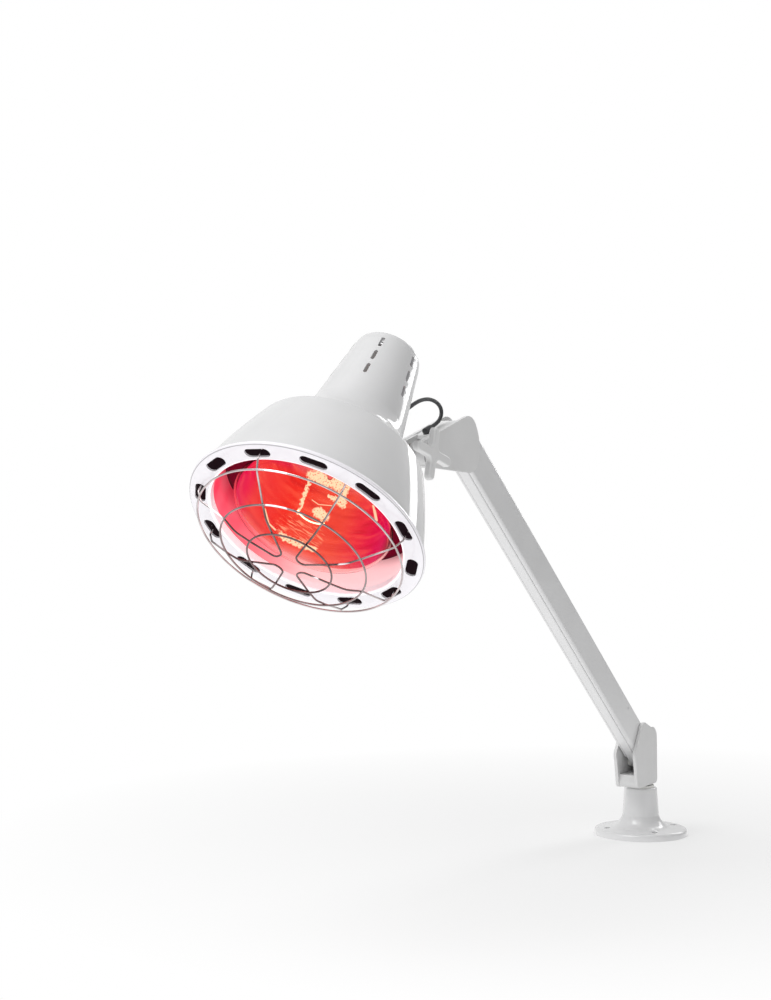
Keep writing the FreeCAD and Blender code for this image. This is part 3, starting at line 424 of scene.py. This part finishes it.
def reflector_finish(name):
    """White wall round the bulb: painted pink light of the bulb towards its back, a painted shadow behind
    the bulb's upper side, and painted shade outside in the duct.
    """
    finish = Finish(name, (0.70, 0.66, 0.68), 0.35)
    outward = finish.outward()
    depth = finish.polar()[3]
    left = finish.smooth(finish.dot(finish.head_place(), LEFT_WAY), 0.0, LEFT_REACH)
    led = finish.math("ADD", depth, finish.times(left, PINK_LEAD))
    cloud = finish.varied(finish.noise(38), 0.85, 1.0)
    deep = finish.times(finish.smooth(led, *PINK_START), cloud)
    up = finish.dot(finish.head_place(), PATTERN_UP)
    shadow = finish.times(finish.smooth(depth, *SHADOW_START), finish.smooth(up, *SHADOW_RISE))
    shadow = finish.times(shadow, finish.spread(left, 0.0, 1.0, *SHADOW_SHARE))
    # painted pink light and painted shadow in the base colour
    painted_pink = finish.mix(left, (0.62, 0.47, 0.48), (0.85, 0.10, 0.20))
    lit = finish.mix(shadow, finish.mix(deep, finish.colour, painted_pink), (0.14, 0.01, 0.04))
    finish.set("Base Color", finish.mix(outward, lit, DUCT_SHADE))
    # the same painted light glows on the wall; outside, a faint painted light in the duct
    painted_pink = finish.mix(left, (0.80, 0.50, 0.51), (0.54, 0.025, 0.055))
    glow = finish.mix(shadow, finish.mix(deep, (0.66, 0.61, 0.63), painted_pink), (0.03, 0.0, 0.008))
    finish.set("Emission Color", finish.mix(outward, glow, (0.011, 0.0055, 0.0075)))
    finish.set("Emission Strength", 1.0)
    finish.bump(finish.noise(160), depth=0.03, strength=0.4)
    return finish.material


def moulding(name, colour, edge=0.0):
    """Satin plastic with the grain of a sparked mould; edge paints a highlight along its rounded side
    edges.
    """
    finish = Finish(name, colour, 0.42)
    finish.wear(change=0.025, scale=40)
    if edge:
        # painted highlight along the rounded side edges
        facing = finish.math("ABSOLUTE", finish.dot(finish.normal(), KNOB_SIDE))
        rounded = finish.times(finish.smooth(facing, *EDGE_START), finish.smooth(facing, *EDGE_END))
        painted_pale_light = tuple(min(channel + edge, PALEST) for channel in colour)
        finish.set("Base Color", finish.mix(rounded, finish.painted(), painted_pale_light))
    finish.bump(finish.noise(2600), depth=0.02, strength=0.5)
    return finish.material


def rubber(name):
    finish = Finish(name, (0.045, 0.046, 0.05), 0.5)
    finish.wear(change=0.25, scale=90)
    finish.bump(finish.noise(2400), depth=0.03, strength=0.6)
    return finish.material


def glaze(name):
    finish = Finish(name, (0.86, 0.85, 0.81), 0.12)
    finish.wear(change=0.03, scale=60)
    finish.set("Coat Weight", 0.7)
    finish.bump(finish.noise(300), depth=0.03, strength=0.4)
    return finish.material


# ---------------------------------------------------------------- metal

# painted glints on the guard: start, end and half width of each stroke, in millimetres on the flat pattern
GLINTS = (
    ((-29.0, 30.5), (-18.0, 28.8), 2.6), ((-29.0, 5.5), (-18.3, 3.1), 2.6),
    ((-78.0, 12.0), (-61.0, -12.5), 2.2), ((22.0, -38.4), (27.5, -38.4), 2.8),
    ((-38.0, -30.1), (-34.0, -30.4), 2.2), ((-2.0, -48.5), (3.0, -48.5), 2.2))
# the way the glinting crests of the wire face, and how squarely
CREST_WAY = (0.80, 0.42, 0.43)
CREST_START = (0.2, 0.5)
# radii between which the guard's wire goes from a darker middle, painted shade, to bright
DARKER_MIDDLE_R = (46 * MM, 74 * MM)
GRAIN_STRETCH = (1, 8, 1)


def bright_wire(name):
    """Drawn and plated wire, darker towards the middle with painted shade, and a few painted glints."""
    finish = Finish(name, (0.26, 0.21, 0.21), 0.12, 1.0)
    tint = finish.noise(60, detail=3.0)
    # painted shade darkens the wire towards the middle
    darker_middle = finish.ramp(tint, (0.35, (0.12, 0.075, 0.075)), (0.65, (0.24, 0.18, 0.18)))
    plated = finish.ramp(tint, (0.35, (0.46, 0.41, 0.41)), (0.65, (0.66, 0.60, 0.60)))
    outer = finish.smooth(finish.polar()[2], *DARKER_MIDDLE_R)
    finish.set("Base Color", finish.mix(outer, darker_middle, plated))
    # painted glints on the crests of the wire
    crest = finish.smooth(finish.dot(finish.normal(), CREST_WAY), *CREST_START)
    glint = finish.times(finish.strokes(finish.flat_pattern(), GLINTS), crest)
    finish.set("Emission Color", (0.95, 0.90, 0.93))
    finish.set("Emission Strength", glint)
    finish.bump(finish.noise(1800, detail=1.0), depth=0.01, strength=0.4)
    return finish.material


def turned_steel(name, colour=(0.56, 0.56, 0.57), roughness=0.28):
    finish = Finish(name, colour, roughness, 1.0)
    finish.wear(change=0.06, scale=120)
    grain = finish.vector("MULTIPLY", finish.place(), GRAIN_STRETCH)
    finish.bump(finish.noise(1500, 3.0, grain), depth=0.01, strength=0.5)
    return finish.material


# ---------------------------------------------------------------- lit bulb

# colours along the bowl, from the upper left of its flat pattern to the lower right
FLANK_WAY = (0.93, -0.36, 0)
BOWL_REACH = 62 * MM
BOWL_COLOURS = (
    (0.0, (0.50, 0.0, 0.06)), (0.02, (0.70, 0.0, 0.09)), (0.06, (0.80, 0.0, 0.08)),
    (0.12, (0.86, 0.05, 0.05)), (0.33, (0.90, 0.035, 0.02)), (0.50, (0.90, 0.085, 0.05)),
    (0.68, (0.84, 0.07, 0.045)), (0.80, (0.82, 0.03, 0.06)), (0.89, (0.74, 0.0, 0.07)),
    (0.95, (0.68, 0.0, 0.11)), (0.98, (0.28, 0.004, 0.03)), (1.0, (0.15, 0.004, 0.02)))
# its crown, at the top, paler with a painted highlight, and where the crown turns from magenta to pink
# along the bowl
CROWN_WAY = (0.36, 0.93, 0)
CROWN_START = (21 * MM, 31 * MM)
CROWN_PINK = (-36 * MM, -12 * MM)
# its pale patch, a painted reflection of the white surroundings, at the lower left, and where the patch
# ends on the right
PALE_WAY = (-0.4, -1.0, 0)
PALE_START = (32 * MM, 50 * MM)
PALE_END = (14 * MM, -10 * MM)
# noise that swirls round the bulb's axis: its smallest radius, and how fast it changes with depth
SWIRL_HUB = 1 * MM
SWIRL_PITCH = 150
# its dark and its bright bands: a range of the noise, and the share of their colour at its two ends
DARK_BANDS = (0.30, 0.48, 0.45, 0.0)
BRIGHT_BANDS = (0.52, 0.70, 0.0, 0.5)
# short painted scratches of highlight: the ways along and across them, times their noise's scale, and their
# patch
SCRATCH_ALONG = (82, -57, 0)
SCRATCH_ACROSS = (490, 700, 0)
SCRATCH_PATCH = ((-22, -10), (-2, -19), 8)
SCRATCH_START = (0.52, 0.60)
SCRATCH_SHARE = 0.8
# painted glare of the hot filament, as its reflection in the bowl, torn and flecked, and thin painted
# streaks of highlight: strokes in millimetres
GLARE = (
    ((-3, 29.5), (22, 19), 4.0), ((20.5, 15), (20.5, 7), 2.8), ((11, 12.5), (18, 9), 1.8),
    ((-5, 25), (-8.5, 14), 1.2), ((-9.5, 13), (-11, 7.5), 1.3), ((-11, 6), (-14.2, -0.5), 1.0),
    ((1.8, 0.5), (6.0, -2.5), 4.0), ((-27, -17.5), (-12, -25), 2.5), ((-12, -24), (-1, -28.5), 2.0))
STREAKS = (
    ((45, 5.3), (47.2, -5.5), 1.0), ((-38.8, 3), (-36, -8), 0.7), ((-36, -8), (-31, -13), 0.6),
    ((-4.8, -40.5), (-4.8, -45), 0.6), ((-3, 10), (2, 6.5), 0.3), ((2, 6.5), (13, 5.5), 0.3))
TEAR = (7 * MM, 7 * MM, 0)
FLECK_START = (0.36, 0.44)
STREAK_SHARE = 0.85


def bowl_colour(finish, spot):
    """Magenta flanks, an orange middle and a paler crown with a painted highlight."""
    flank = finish.dot(spot, FLANK_WAY)
    base = finish.ramp(finish.spread(flank, -BOWL_REACH, BOWL_REACH), *BOWL_COLOURS)
    crown = finish.mix(finish.smooth(flank, *CROWN_PINK), (0.72, 0.004, 0.09), (0.88, 0.19, 0.17))
    return finish.mix(finish.smooth(finish.dot(spot, CROWN_WAY), *CROWN_START), base, crown)


def swirled(finish):
    """Noise that swirls round the bulb's axis."""
    across, side, radius, depth = finish.polar()
    hub = finish.math("MAXIMUM", radius, SWIRL_HUB)
    way = finish.combined(finish.math("DIVIDE", across, hub), finish.math("DIVIDE", side, hub),
                          finish.times(depth, SWIRL_PITCH))
    return finish.noise(1.4, 4.0, way, distortion=0.6)


def painted_scratch_highlights(finish, spot):
    """Short parallel painted highlights like scratches of light, slanting down to the right."""
    slant = finish.combined(finish.dot(spot, SCRATCH_ALONG), finish.dot(spot, SCRATCH_ACROSS))
    combed = finish.smooth(finish.noise(1.0, 2.0, slant), *SCRATCH_START)
    return finish.times(finish.stroke(spot, *SCRATCH_PATCH), combed)


def filament_light(finish, spot):
    """The filament's painted glare, torn and flecked, and the thin painted streaks of highlight."""
    ragged = finish.noise(330, 3.0, spot).node.outputs["Color"]
    tear = finish.vector("MULTIPLY", finish.vector("SUBTRACT", ragged, (0.5, 0.5, 0.5)), TEAR)
    torn = finish.vector("ADD", spot, tear)
    flecks = finish.smooth(finish.noise(800, 3.0, spot), *FLECK_START)
    glare = finish.times(finish.strokes(torn, GLARE), flecks)
    streaks = finish.times(finish.strokes(spot, STREAKS), STREAK_SHARE)
    return finish.math("MAXIMUM", glare, streaks)


def red_reflector(name):
    """Silvered bowl behind the red stain, glowing as lit by the filament, with painted highlights and a
    painted reflection.
    """
    finish = Finish(name, (0.03, 0.006, 0.006), 0.5)
    finish.set("Specular IOR Level", 0.1)
    spot = finish.flat_pattern()
    swirl = swirled(finish)
    glow = bowl_colour(finish, spot)
    glow = finish.mix(finish.spread(swirl, *DARK_BANDS), glow, (0.55, 0.002, 0.012))
    glow = finish.mix(finish.spread(swirl, *BRIGHT_BANDS), glow, (1.0, 0.17, 0.09))
    # painted reflection of the white surroundings at the lower left
    painted_pale_light = finish.times(finish.smooth(finish.dot(spot, PALE_WAY), *PALE_START),
                       finish.smooth(finish.dot(spot, (1, 0, 0)), *PALE_END))
    glow = finish.mix(painted_pale_light, glow, (0.98, 0.46, 0.47))
    scratch_highlight = finish.times(painted_scratch_highlights(finish, spot), SCRATCH_SHARE)
    glow = finish.mix(scratch_highlight, glow, (1.05, 0.46, 0.26))
    glow = finish.mix(filament_light(finish, spot), glow, (1.15, 0.96, 0.60))
    finish.set("Emission Color", glow)
    finish.set("Emission Strength", 1.0)
    finish.bump(swirl, depth=0.4, strength=0.5)
    return finish.material


def red_glass(name):
    finish = Finish(name, (1.0, 0.80, 0.78), 0.03)
    finish.set("Transmission Weight", 1.0)
    finish.set("IOR", 1.07)
    finish.bump(finish.noise(45), depth=0.05, strength=0.4)
    return finish.material


def hot_wire(name):
    finish = Finish(name, (1.0, 0.85, 0.6), 0.4)
    finish.set("Emission Color", (1.0, 0.78, 0.50))
    finish.set("Emission Strength", 2.2)
    finish.set("Roughness", finish.varied(finish.noise(900), 0.3, 0.5))
    return finish.material


# ---------------------------------------------------------------- finishes of the nodes

shade_enamel = shade_finish("shade_enamel")
ring_enamel = ring_finish("ring_enamel")
reflector_white = reflector_finish("reflector_white")
arm_enamel = enamel("arm_enamel", ARM_GREY).material
link_enamel = enamel("link_enamel", SHADE_GREY).material
foot_enamel = enamel("foot_enamel", ARM_GREY).material
bracket_enamel = enamel("bracket_enamel", ARM_GREY).material
knuckle_plastic = moulding("knuckle_plastic", (0.70, 0.70, 0.70))
# painted light: a paler copy of the knuckle's plastic makes the far half look lit
knuckle_pale = moulding("knuckle_pale", (0.78, 0.78, 0.78))
knob_plastic = moulding("knob_plastic", (0.73, 0.73, 0.73), edge=0.09)
bush_plastic = moulding("bush_plastic", (0.80, 0.80, 0.77))
washer_fibre = moulding("washer_fibre", (0.30, 0.24, 0.18))
guard_wire = bright_wire("guard_wire")
pin_steel = turned_steel("pin_steel")
spring_steel = turned_steel("spring_steel", (0.30, 0.30, 0.31), 0.4)
cap_brass = turned_steel("cap_brass", (0.72, 0.52, 0.22), 0.3)
black_rubber = rubber("black_rubber")
holder_glaze = glaze("holder_glaze")
bulb_stain = red_glass("bulb_stain")
bulb_silver = red_reflector("bulb_silver")
filament_glow = hot_wire("filament_glow")

NODE_FINISHES = (
    (shade_enamel, ("shade_shell", "neck_cap")),
    (ring_enamel, ("vent_ring",)),
    (reflector_white, ("inner_reflector",)),
    (guard_wire, ("guard_ring_outer", "guard_ring_middle", "guard_ring_inner", "guard_loop_top",
                  "guard_loop_near", "guard_loop_low", "guard_loop_far")),
    (bulb_stain, ("bulb_glass",)),
    (cap_brass, ("bulb_cap", "bulb_contact", "holder_contact", "knob_insert")),
    (holder_glaze, ("lampholder",)),
    (arm_enamel, ("upper_channel",)),
    (link_enamel, ("lower_channel",)),
    (bracket_enamel, ("tilt_bracket",)),
    (foot_enamel, ("mounting_foot",)),
    (knuckle_plastic, ("upper_knuckle_near", "lower_knuckle_near", "lower_knuckle_far")),
    (knuckle_pale, ("upper_knuckle_far",)),
    (knob_plastic, ("cross_knob",)),
    (bush_plastic, ("swivel_bush", "upper_link_washers", "lower_link_washers")),
    (washer_fibre, ("friction_washers",)),
    (pin_steel, ("holder_plate", "holder_screws", "bracket_rivets", "tilt_bolt", "upper_knuckle_screws",
                 "lower_knuckle_screws", "upper_arm_pin", "upper_link_pin", "lower_arm_pin",
                 "lower_link_pin", "upper_spring_pin", "lower_spring_pin", "swivel_spigot",
                 "swivel_stop_screw")),
    (spring_steel, ("spring_hooks",)),
    (black_rubber, ("cable_grommet", "mains_grommet", "cable_boot")),
)
for node_finish, members in NODE_FINISHES:
    for member in members:
        for holder in nodes[member].material_slots:
            holder.material = node_finish


# ---------------------------------------------------------------- head cable

CABLE_D = 3.3 * MM
# ahead of and above the frame's origin, in millimetres, from the boot to the grommet
CABLE_ROUTE = (
    (450.04, 407.67), (443.04, 410.12), (436.34, 413.37), (431.94, 418.27), (432.34, 423.67),
    (437.34, 427.57), (445.34, 430.07), (455.24, 430.87), (465.74, 429.67), (475.24, 427.07),
    (486.24, 422.67), (496.24, 418.27), (503.18, 420.60), (508.64, 424.12))


def make_head_cable():
    """The short cable that loops from the knuckle into the neck."""
    line = bpy.data.curves.new("head_cable_flex", "CURVE")
    line.dimensions = "3D"
    line.bevel_depth = CABLE_D / 2
    line.bevel_resolution = 6
    line.resolution_u = 12
    line.use_fill_caps = True
    route = line.splines.new("NURBS")
    route.points.add(len(CABLE_ROUTE) - 1)
    for knot, (ahead, above) in zip(route.points, CABLE_ROUTE):
        knot.co = (ahead * MM, 0, above * MM, 1)
    route.order_u = 3
    route.use_endpoint_u = True
    cable = dressed(linked("head_cable_flex", line), "upper_knuckle", black_rubber)
    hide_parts("head_cable")


# ---------------------------------------------------------------- bulb

# radii and depths in millimetres: the bowl's lip, its widest place, its waist, its neck and its end
BOWL_OUTSIDE = ((60.3, 8.4), (60.6, 11.0), (22.9, 79.4), (15.0, 98.4), (15.0, 116.0))
BOWL_INSIDE = ((59.8, 8.4), (60.1, 11.0), (22.4, 79.2), (14.6, 98.6), (14.6, 116.0))
BELLY_R = 130
THROAT_R = 34
STEM_PROFILE = [(0.0, 46.0), (1.6, 46.6), (2.4, 49.0), (2.4, 84.0), (5.5, 104.0), (5.5, 112.0),
                (0.0, 112.0)]
# the filament is an open loop of wire round the bulb's axis
FILAMENT_WIRE_R = 0.6 * MM
FILAMENT_R = 13.0 * MM
FILAMENT_DEPTH = 13.0 * MM
FILAMENT_START = math.radians(165)
FILAMENT_SWEEP = math.radians(115)


def bowl_line(lip, widest, waist, neck, end):
    """One side of the bowl's wall."""
    belly = arc(widest, waist, BELLY_R, count=14, side=-1)
    throat = arc(waist, neck, THROAT_R, count=6)
    return [lip, widest, *belly, *throat, end]


def make_bulb_inside():
    """Silvered bowl inside the glass, the filament and the stem."""
    bowl = bowl_line(*BOWL_OUTSIDE) + bowl_line(*BOWL_INSIDE)[::-1]
    finished("bulb_reflector", spun(bowl, HEAD), "head", bulb_silver)
    start = Matrix.Rotation(FILAMENT_START, 4, "Z") @ Matrix.Translation((FILAMENT_R, 0, FILAMENT_DEPTH))
    coil = coiled(FILAMENT_WIRE_R, sides=10, start=start, angle=FILAMENT_SWEEP, steps=48)
    bmesh.ops.transform(coil, matrix=HEAD, verts=coil.verts)
    finished("bulb_filament", coil, "head", filament_glow)
    finished("bulb_stem", spun(STEM_PROFILE, HEAD, steps=24), "head", bulb_stain)


# ---------------------------------------------------------------- balance spring

SPRING_WIRE_R = 0.6 * MM
SPRING_COIL_R = 2.7 * MM
SPRING_TURNS = 60
STEPS_PER_TURN = 14
# the coil's share of the way between the two spring pins
SPRING_SHARE = 0.29


def make_spring_coil():
    """The balance spring wound as real wire between its two hooks."""
    first, last = centre("upper_spring_pin"), centre("lower_spring_pin")
    span = last - first
    length = span.length * SPRING_SHARE
    start = Matrix.Translation((SPRING_COIL_R, 0, (span.length - length) / 2))
    angle = math.tau * SPRING_TURNS
    steps = SPRING_TURNS * STEPS_PER_TURN
    shape = coiled(SPRING_WIRE_R, sides=8, start=start, angle=angle, steps=steps, rise=length / steps)
    bmesh.ops.contextual_create(shape, geom=[edge for edge in shape.edges if edge.is_boundary])
    bmesh.ops.recalc_face_normals(shape, faces=shape.faces)
    bmesh.ops.transform(shape, matrix=frame_at(first, span), verts=shape.verts)
    coil = finished("spring_coil", shape, "upper_channel", spring_steel)
    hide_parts("balance_spring")


# ---------------------------------------------------------------- stage, lights and camera

CAMERA_LENS = 66.6
CAMERA_SENSOR = 36.0
CAMERA_PLACE = (1.7948, 0.7445, 0.3472)
CAMERA_TURN = math.radians(120.38)
CAMERA_REACH = 20.0
STAGE_R = 6.0
# distances from the foot over which the floor fades to white, and its own light's share on the way,
# with the share that the lamp is given
FLOOR_FADE = (0.15, 0.7)
FLOOR_SHARE = (0.35, 1.0)
LAMP_SHARE = (0.7, 0.7, 0.7)
# light that the floor throws up at the lamp, strongest ahead of the foot
BOUNCE_MIDDLE = (0.9, 0.0, 0.0)
BOUNCE_FADE = (0.3, 2.4)
BOUNCE_STRENGTH = (1.32, 0.42)
# ways towards the bright side of the room and towards a pale card behind the lamp; for each, how
# squarely a ray looks that way where the light starts and where it is full, and its two strengths
BRIGHT_WAY = Vector((0.24, -0.66, 0.71)).normalized()
BRIGHT_LIGHT = (-0.6, 1.0, 0.30, 0.65)
CARD_WAY = (-0.863, -0.506, 0.0)
CARD_LIGHT = (0.72, 0.96, 0.0, 0.3)
# name, place, target, size, power and sideways lean in degrees
LIGHTS = (
    ("overhead", (1.56, -0.44, 2.45), (0.5, 0.0, 0.3), (1.6, 1.6), 34, 0),
    ("strip_low", (-0.98, 0.26, 0.69), (0.58, 0.05, 0.38), (0.34, 0.62), 2.2, -45),
    ("strip_high", (-0.87, 0.215, 0.955), (0.58, 0.05, 0.40), (0.155, 0.29), 0.47, 0),
    ("edge_light", (-0.876, -0.052, 1.144), (0.58, 0.05, 0.40), (0.17, 0.21), 0.37, 0))


def make_camera():
    """Level camera beside the knob, ahead of the shade."""
    view = bpy.data.cameras.new("camera")
    view.lens = CAMERA_LENS
    view.sensor_width = CAMERA_SENSOR
    view.clip_end = CAMERA_REACH
    camera = linked("camera", view)
    camera.location = CAMERA_PLACE
    camera.rotation_euler = (math.pi / 2, 0, CAMERA_TURN)
    bpy.context.scene.camera = camera


def make_light(name, place, target, size, power, lean):
    """Flat lamp that faces a target, leaning sideways by an angle in degrees."""
    lamp = bpy.data.lights.new(name, "AREA")
    lamp.shape = "RECTANGLE"
    lamp.size, lamp.size_y = size
    lamp.energy = power
    light = linked(name, lamp)
    light.location = place
    facing = (Vector(target) - Vector(place)).to_track_quat("-Z", "Y").to_matrix()
    light.rotation_euler = (facing @ Matrix.Rotation(math.radians(lean), 3, "Z")).to_euler()


def make_stage():
    """Pale floor that fades to a white surround and keeps the lamp's shadow."""
    shape = bmesh.new()
    bmesh.ops.create_circle(shape, cap_ends=True, radius=STAGE_R, segments=96)
    floor = linked("floor", meshed("floor", shape))
    finish = Finish("floor_white", (0.86, 0.86, 0.86), 0.9)
    to_camera = finish.add("ShaderNodeLightPath").outputs["Is Camera Ray"]
    away = finish.distance(finish.place(), (0, 0, 0))
    share = finish.mix(to_camera, LAMP_SHARE, finish.spread(away, *FLOOR_FADE, *FLOOR_SHARE))
    bounce = finish.spread(finish.distance(finish.place(), BOUNCE_MIDDLE), *BOUNCE_FADE, *BOUNCE_STRENGTH)
    glow = finish.add("ShaderNodeEmission")
    finish.feed(glow, "Strength", finish.mix(to_camera, bounce, WHITE))
    mixed = finish.add("ShaderNodeMixShader", share, finish.shader.outputs[0], glow.outputs[0])
    finish.feed(finish.tree.nodes["Material Output"], "Surface", mixed.outputs[0])
    floor.data.materials.append(finish.material)


def make_surround():
    """White to the camera; to the lamp, a dim room that brightens towards the left and above."""
    world = bpy.data.worlds.new("surround")
    world.use_nodes = True
    world.node_tree.nodes.clear()
    bpy.context.scene.world = world
    room = Nodes(world.node_tree)
    way = room.add("ShaderNodeTexCoord").outputs["Generated"]
    bright = room.smooth(room.dot(way, BRIGHT_WAY), *BRIGHT_LIGHT)
    card = room.smooth(room.dot(way, CARD_WAY), *CARD_LIGHT)
    ambient = room.add("ShaderNodeBackground", WHITE, room.math("ADD", bright, card))
    white = room.add("ShaderNodeBackground", WHITE, 1.0)
    to_camera = room.add("ShaderNodeLightPath").outputs["Is Camera Ray"]
    mixed = room.add("ShaderNodeMixShader", to_camera, ambient.outputs[0], white.outputs[0])
    room.add("ShaderNodeOutputWorld", mixed.outputs[0])


make_camera()
make_head_cable()
make_stage()
make_surround()
for light_facts in LIGHTS:
    make_light(*light_facts)
make_bulb_inside()
make_spring_coil()

bpy.context.scene.view_settings.view_transform = "Standard"
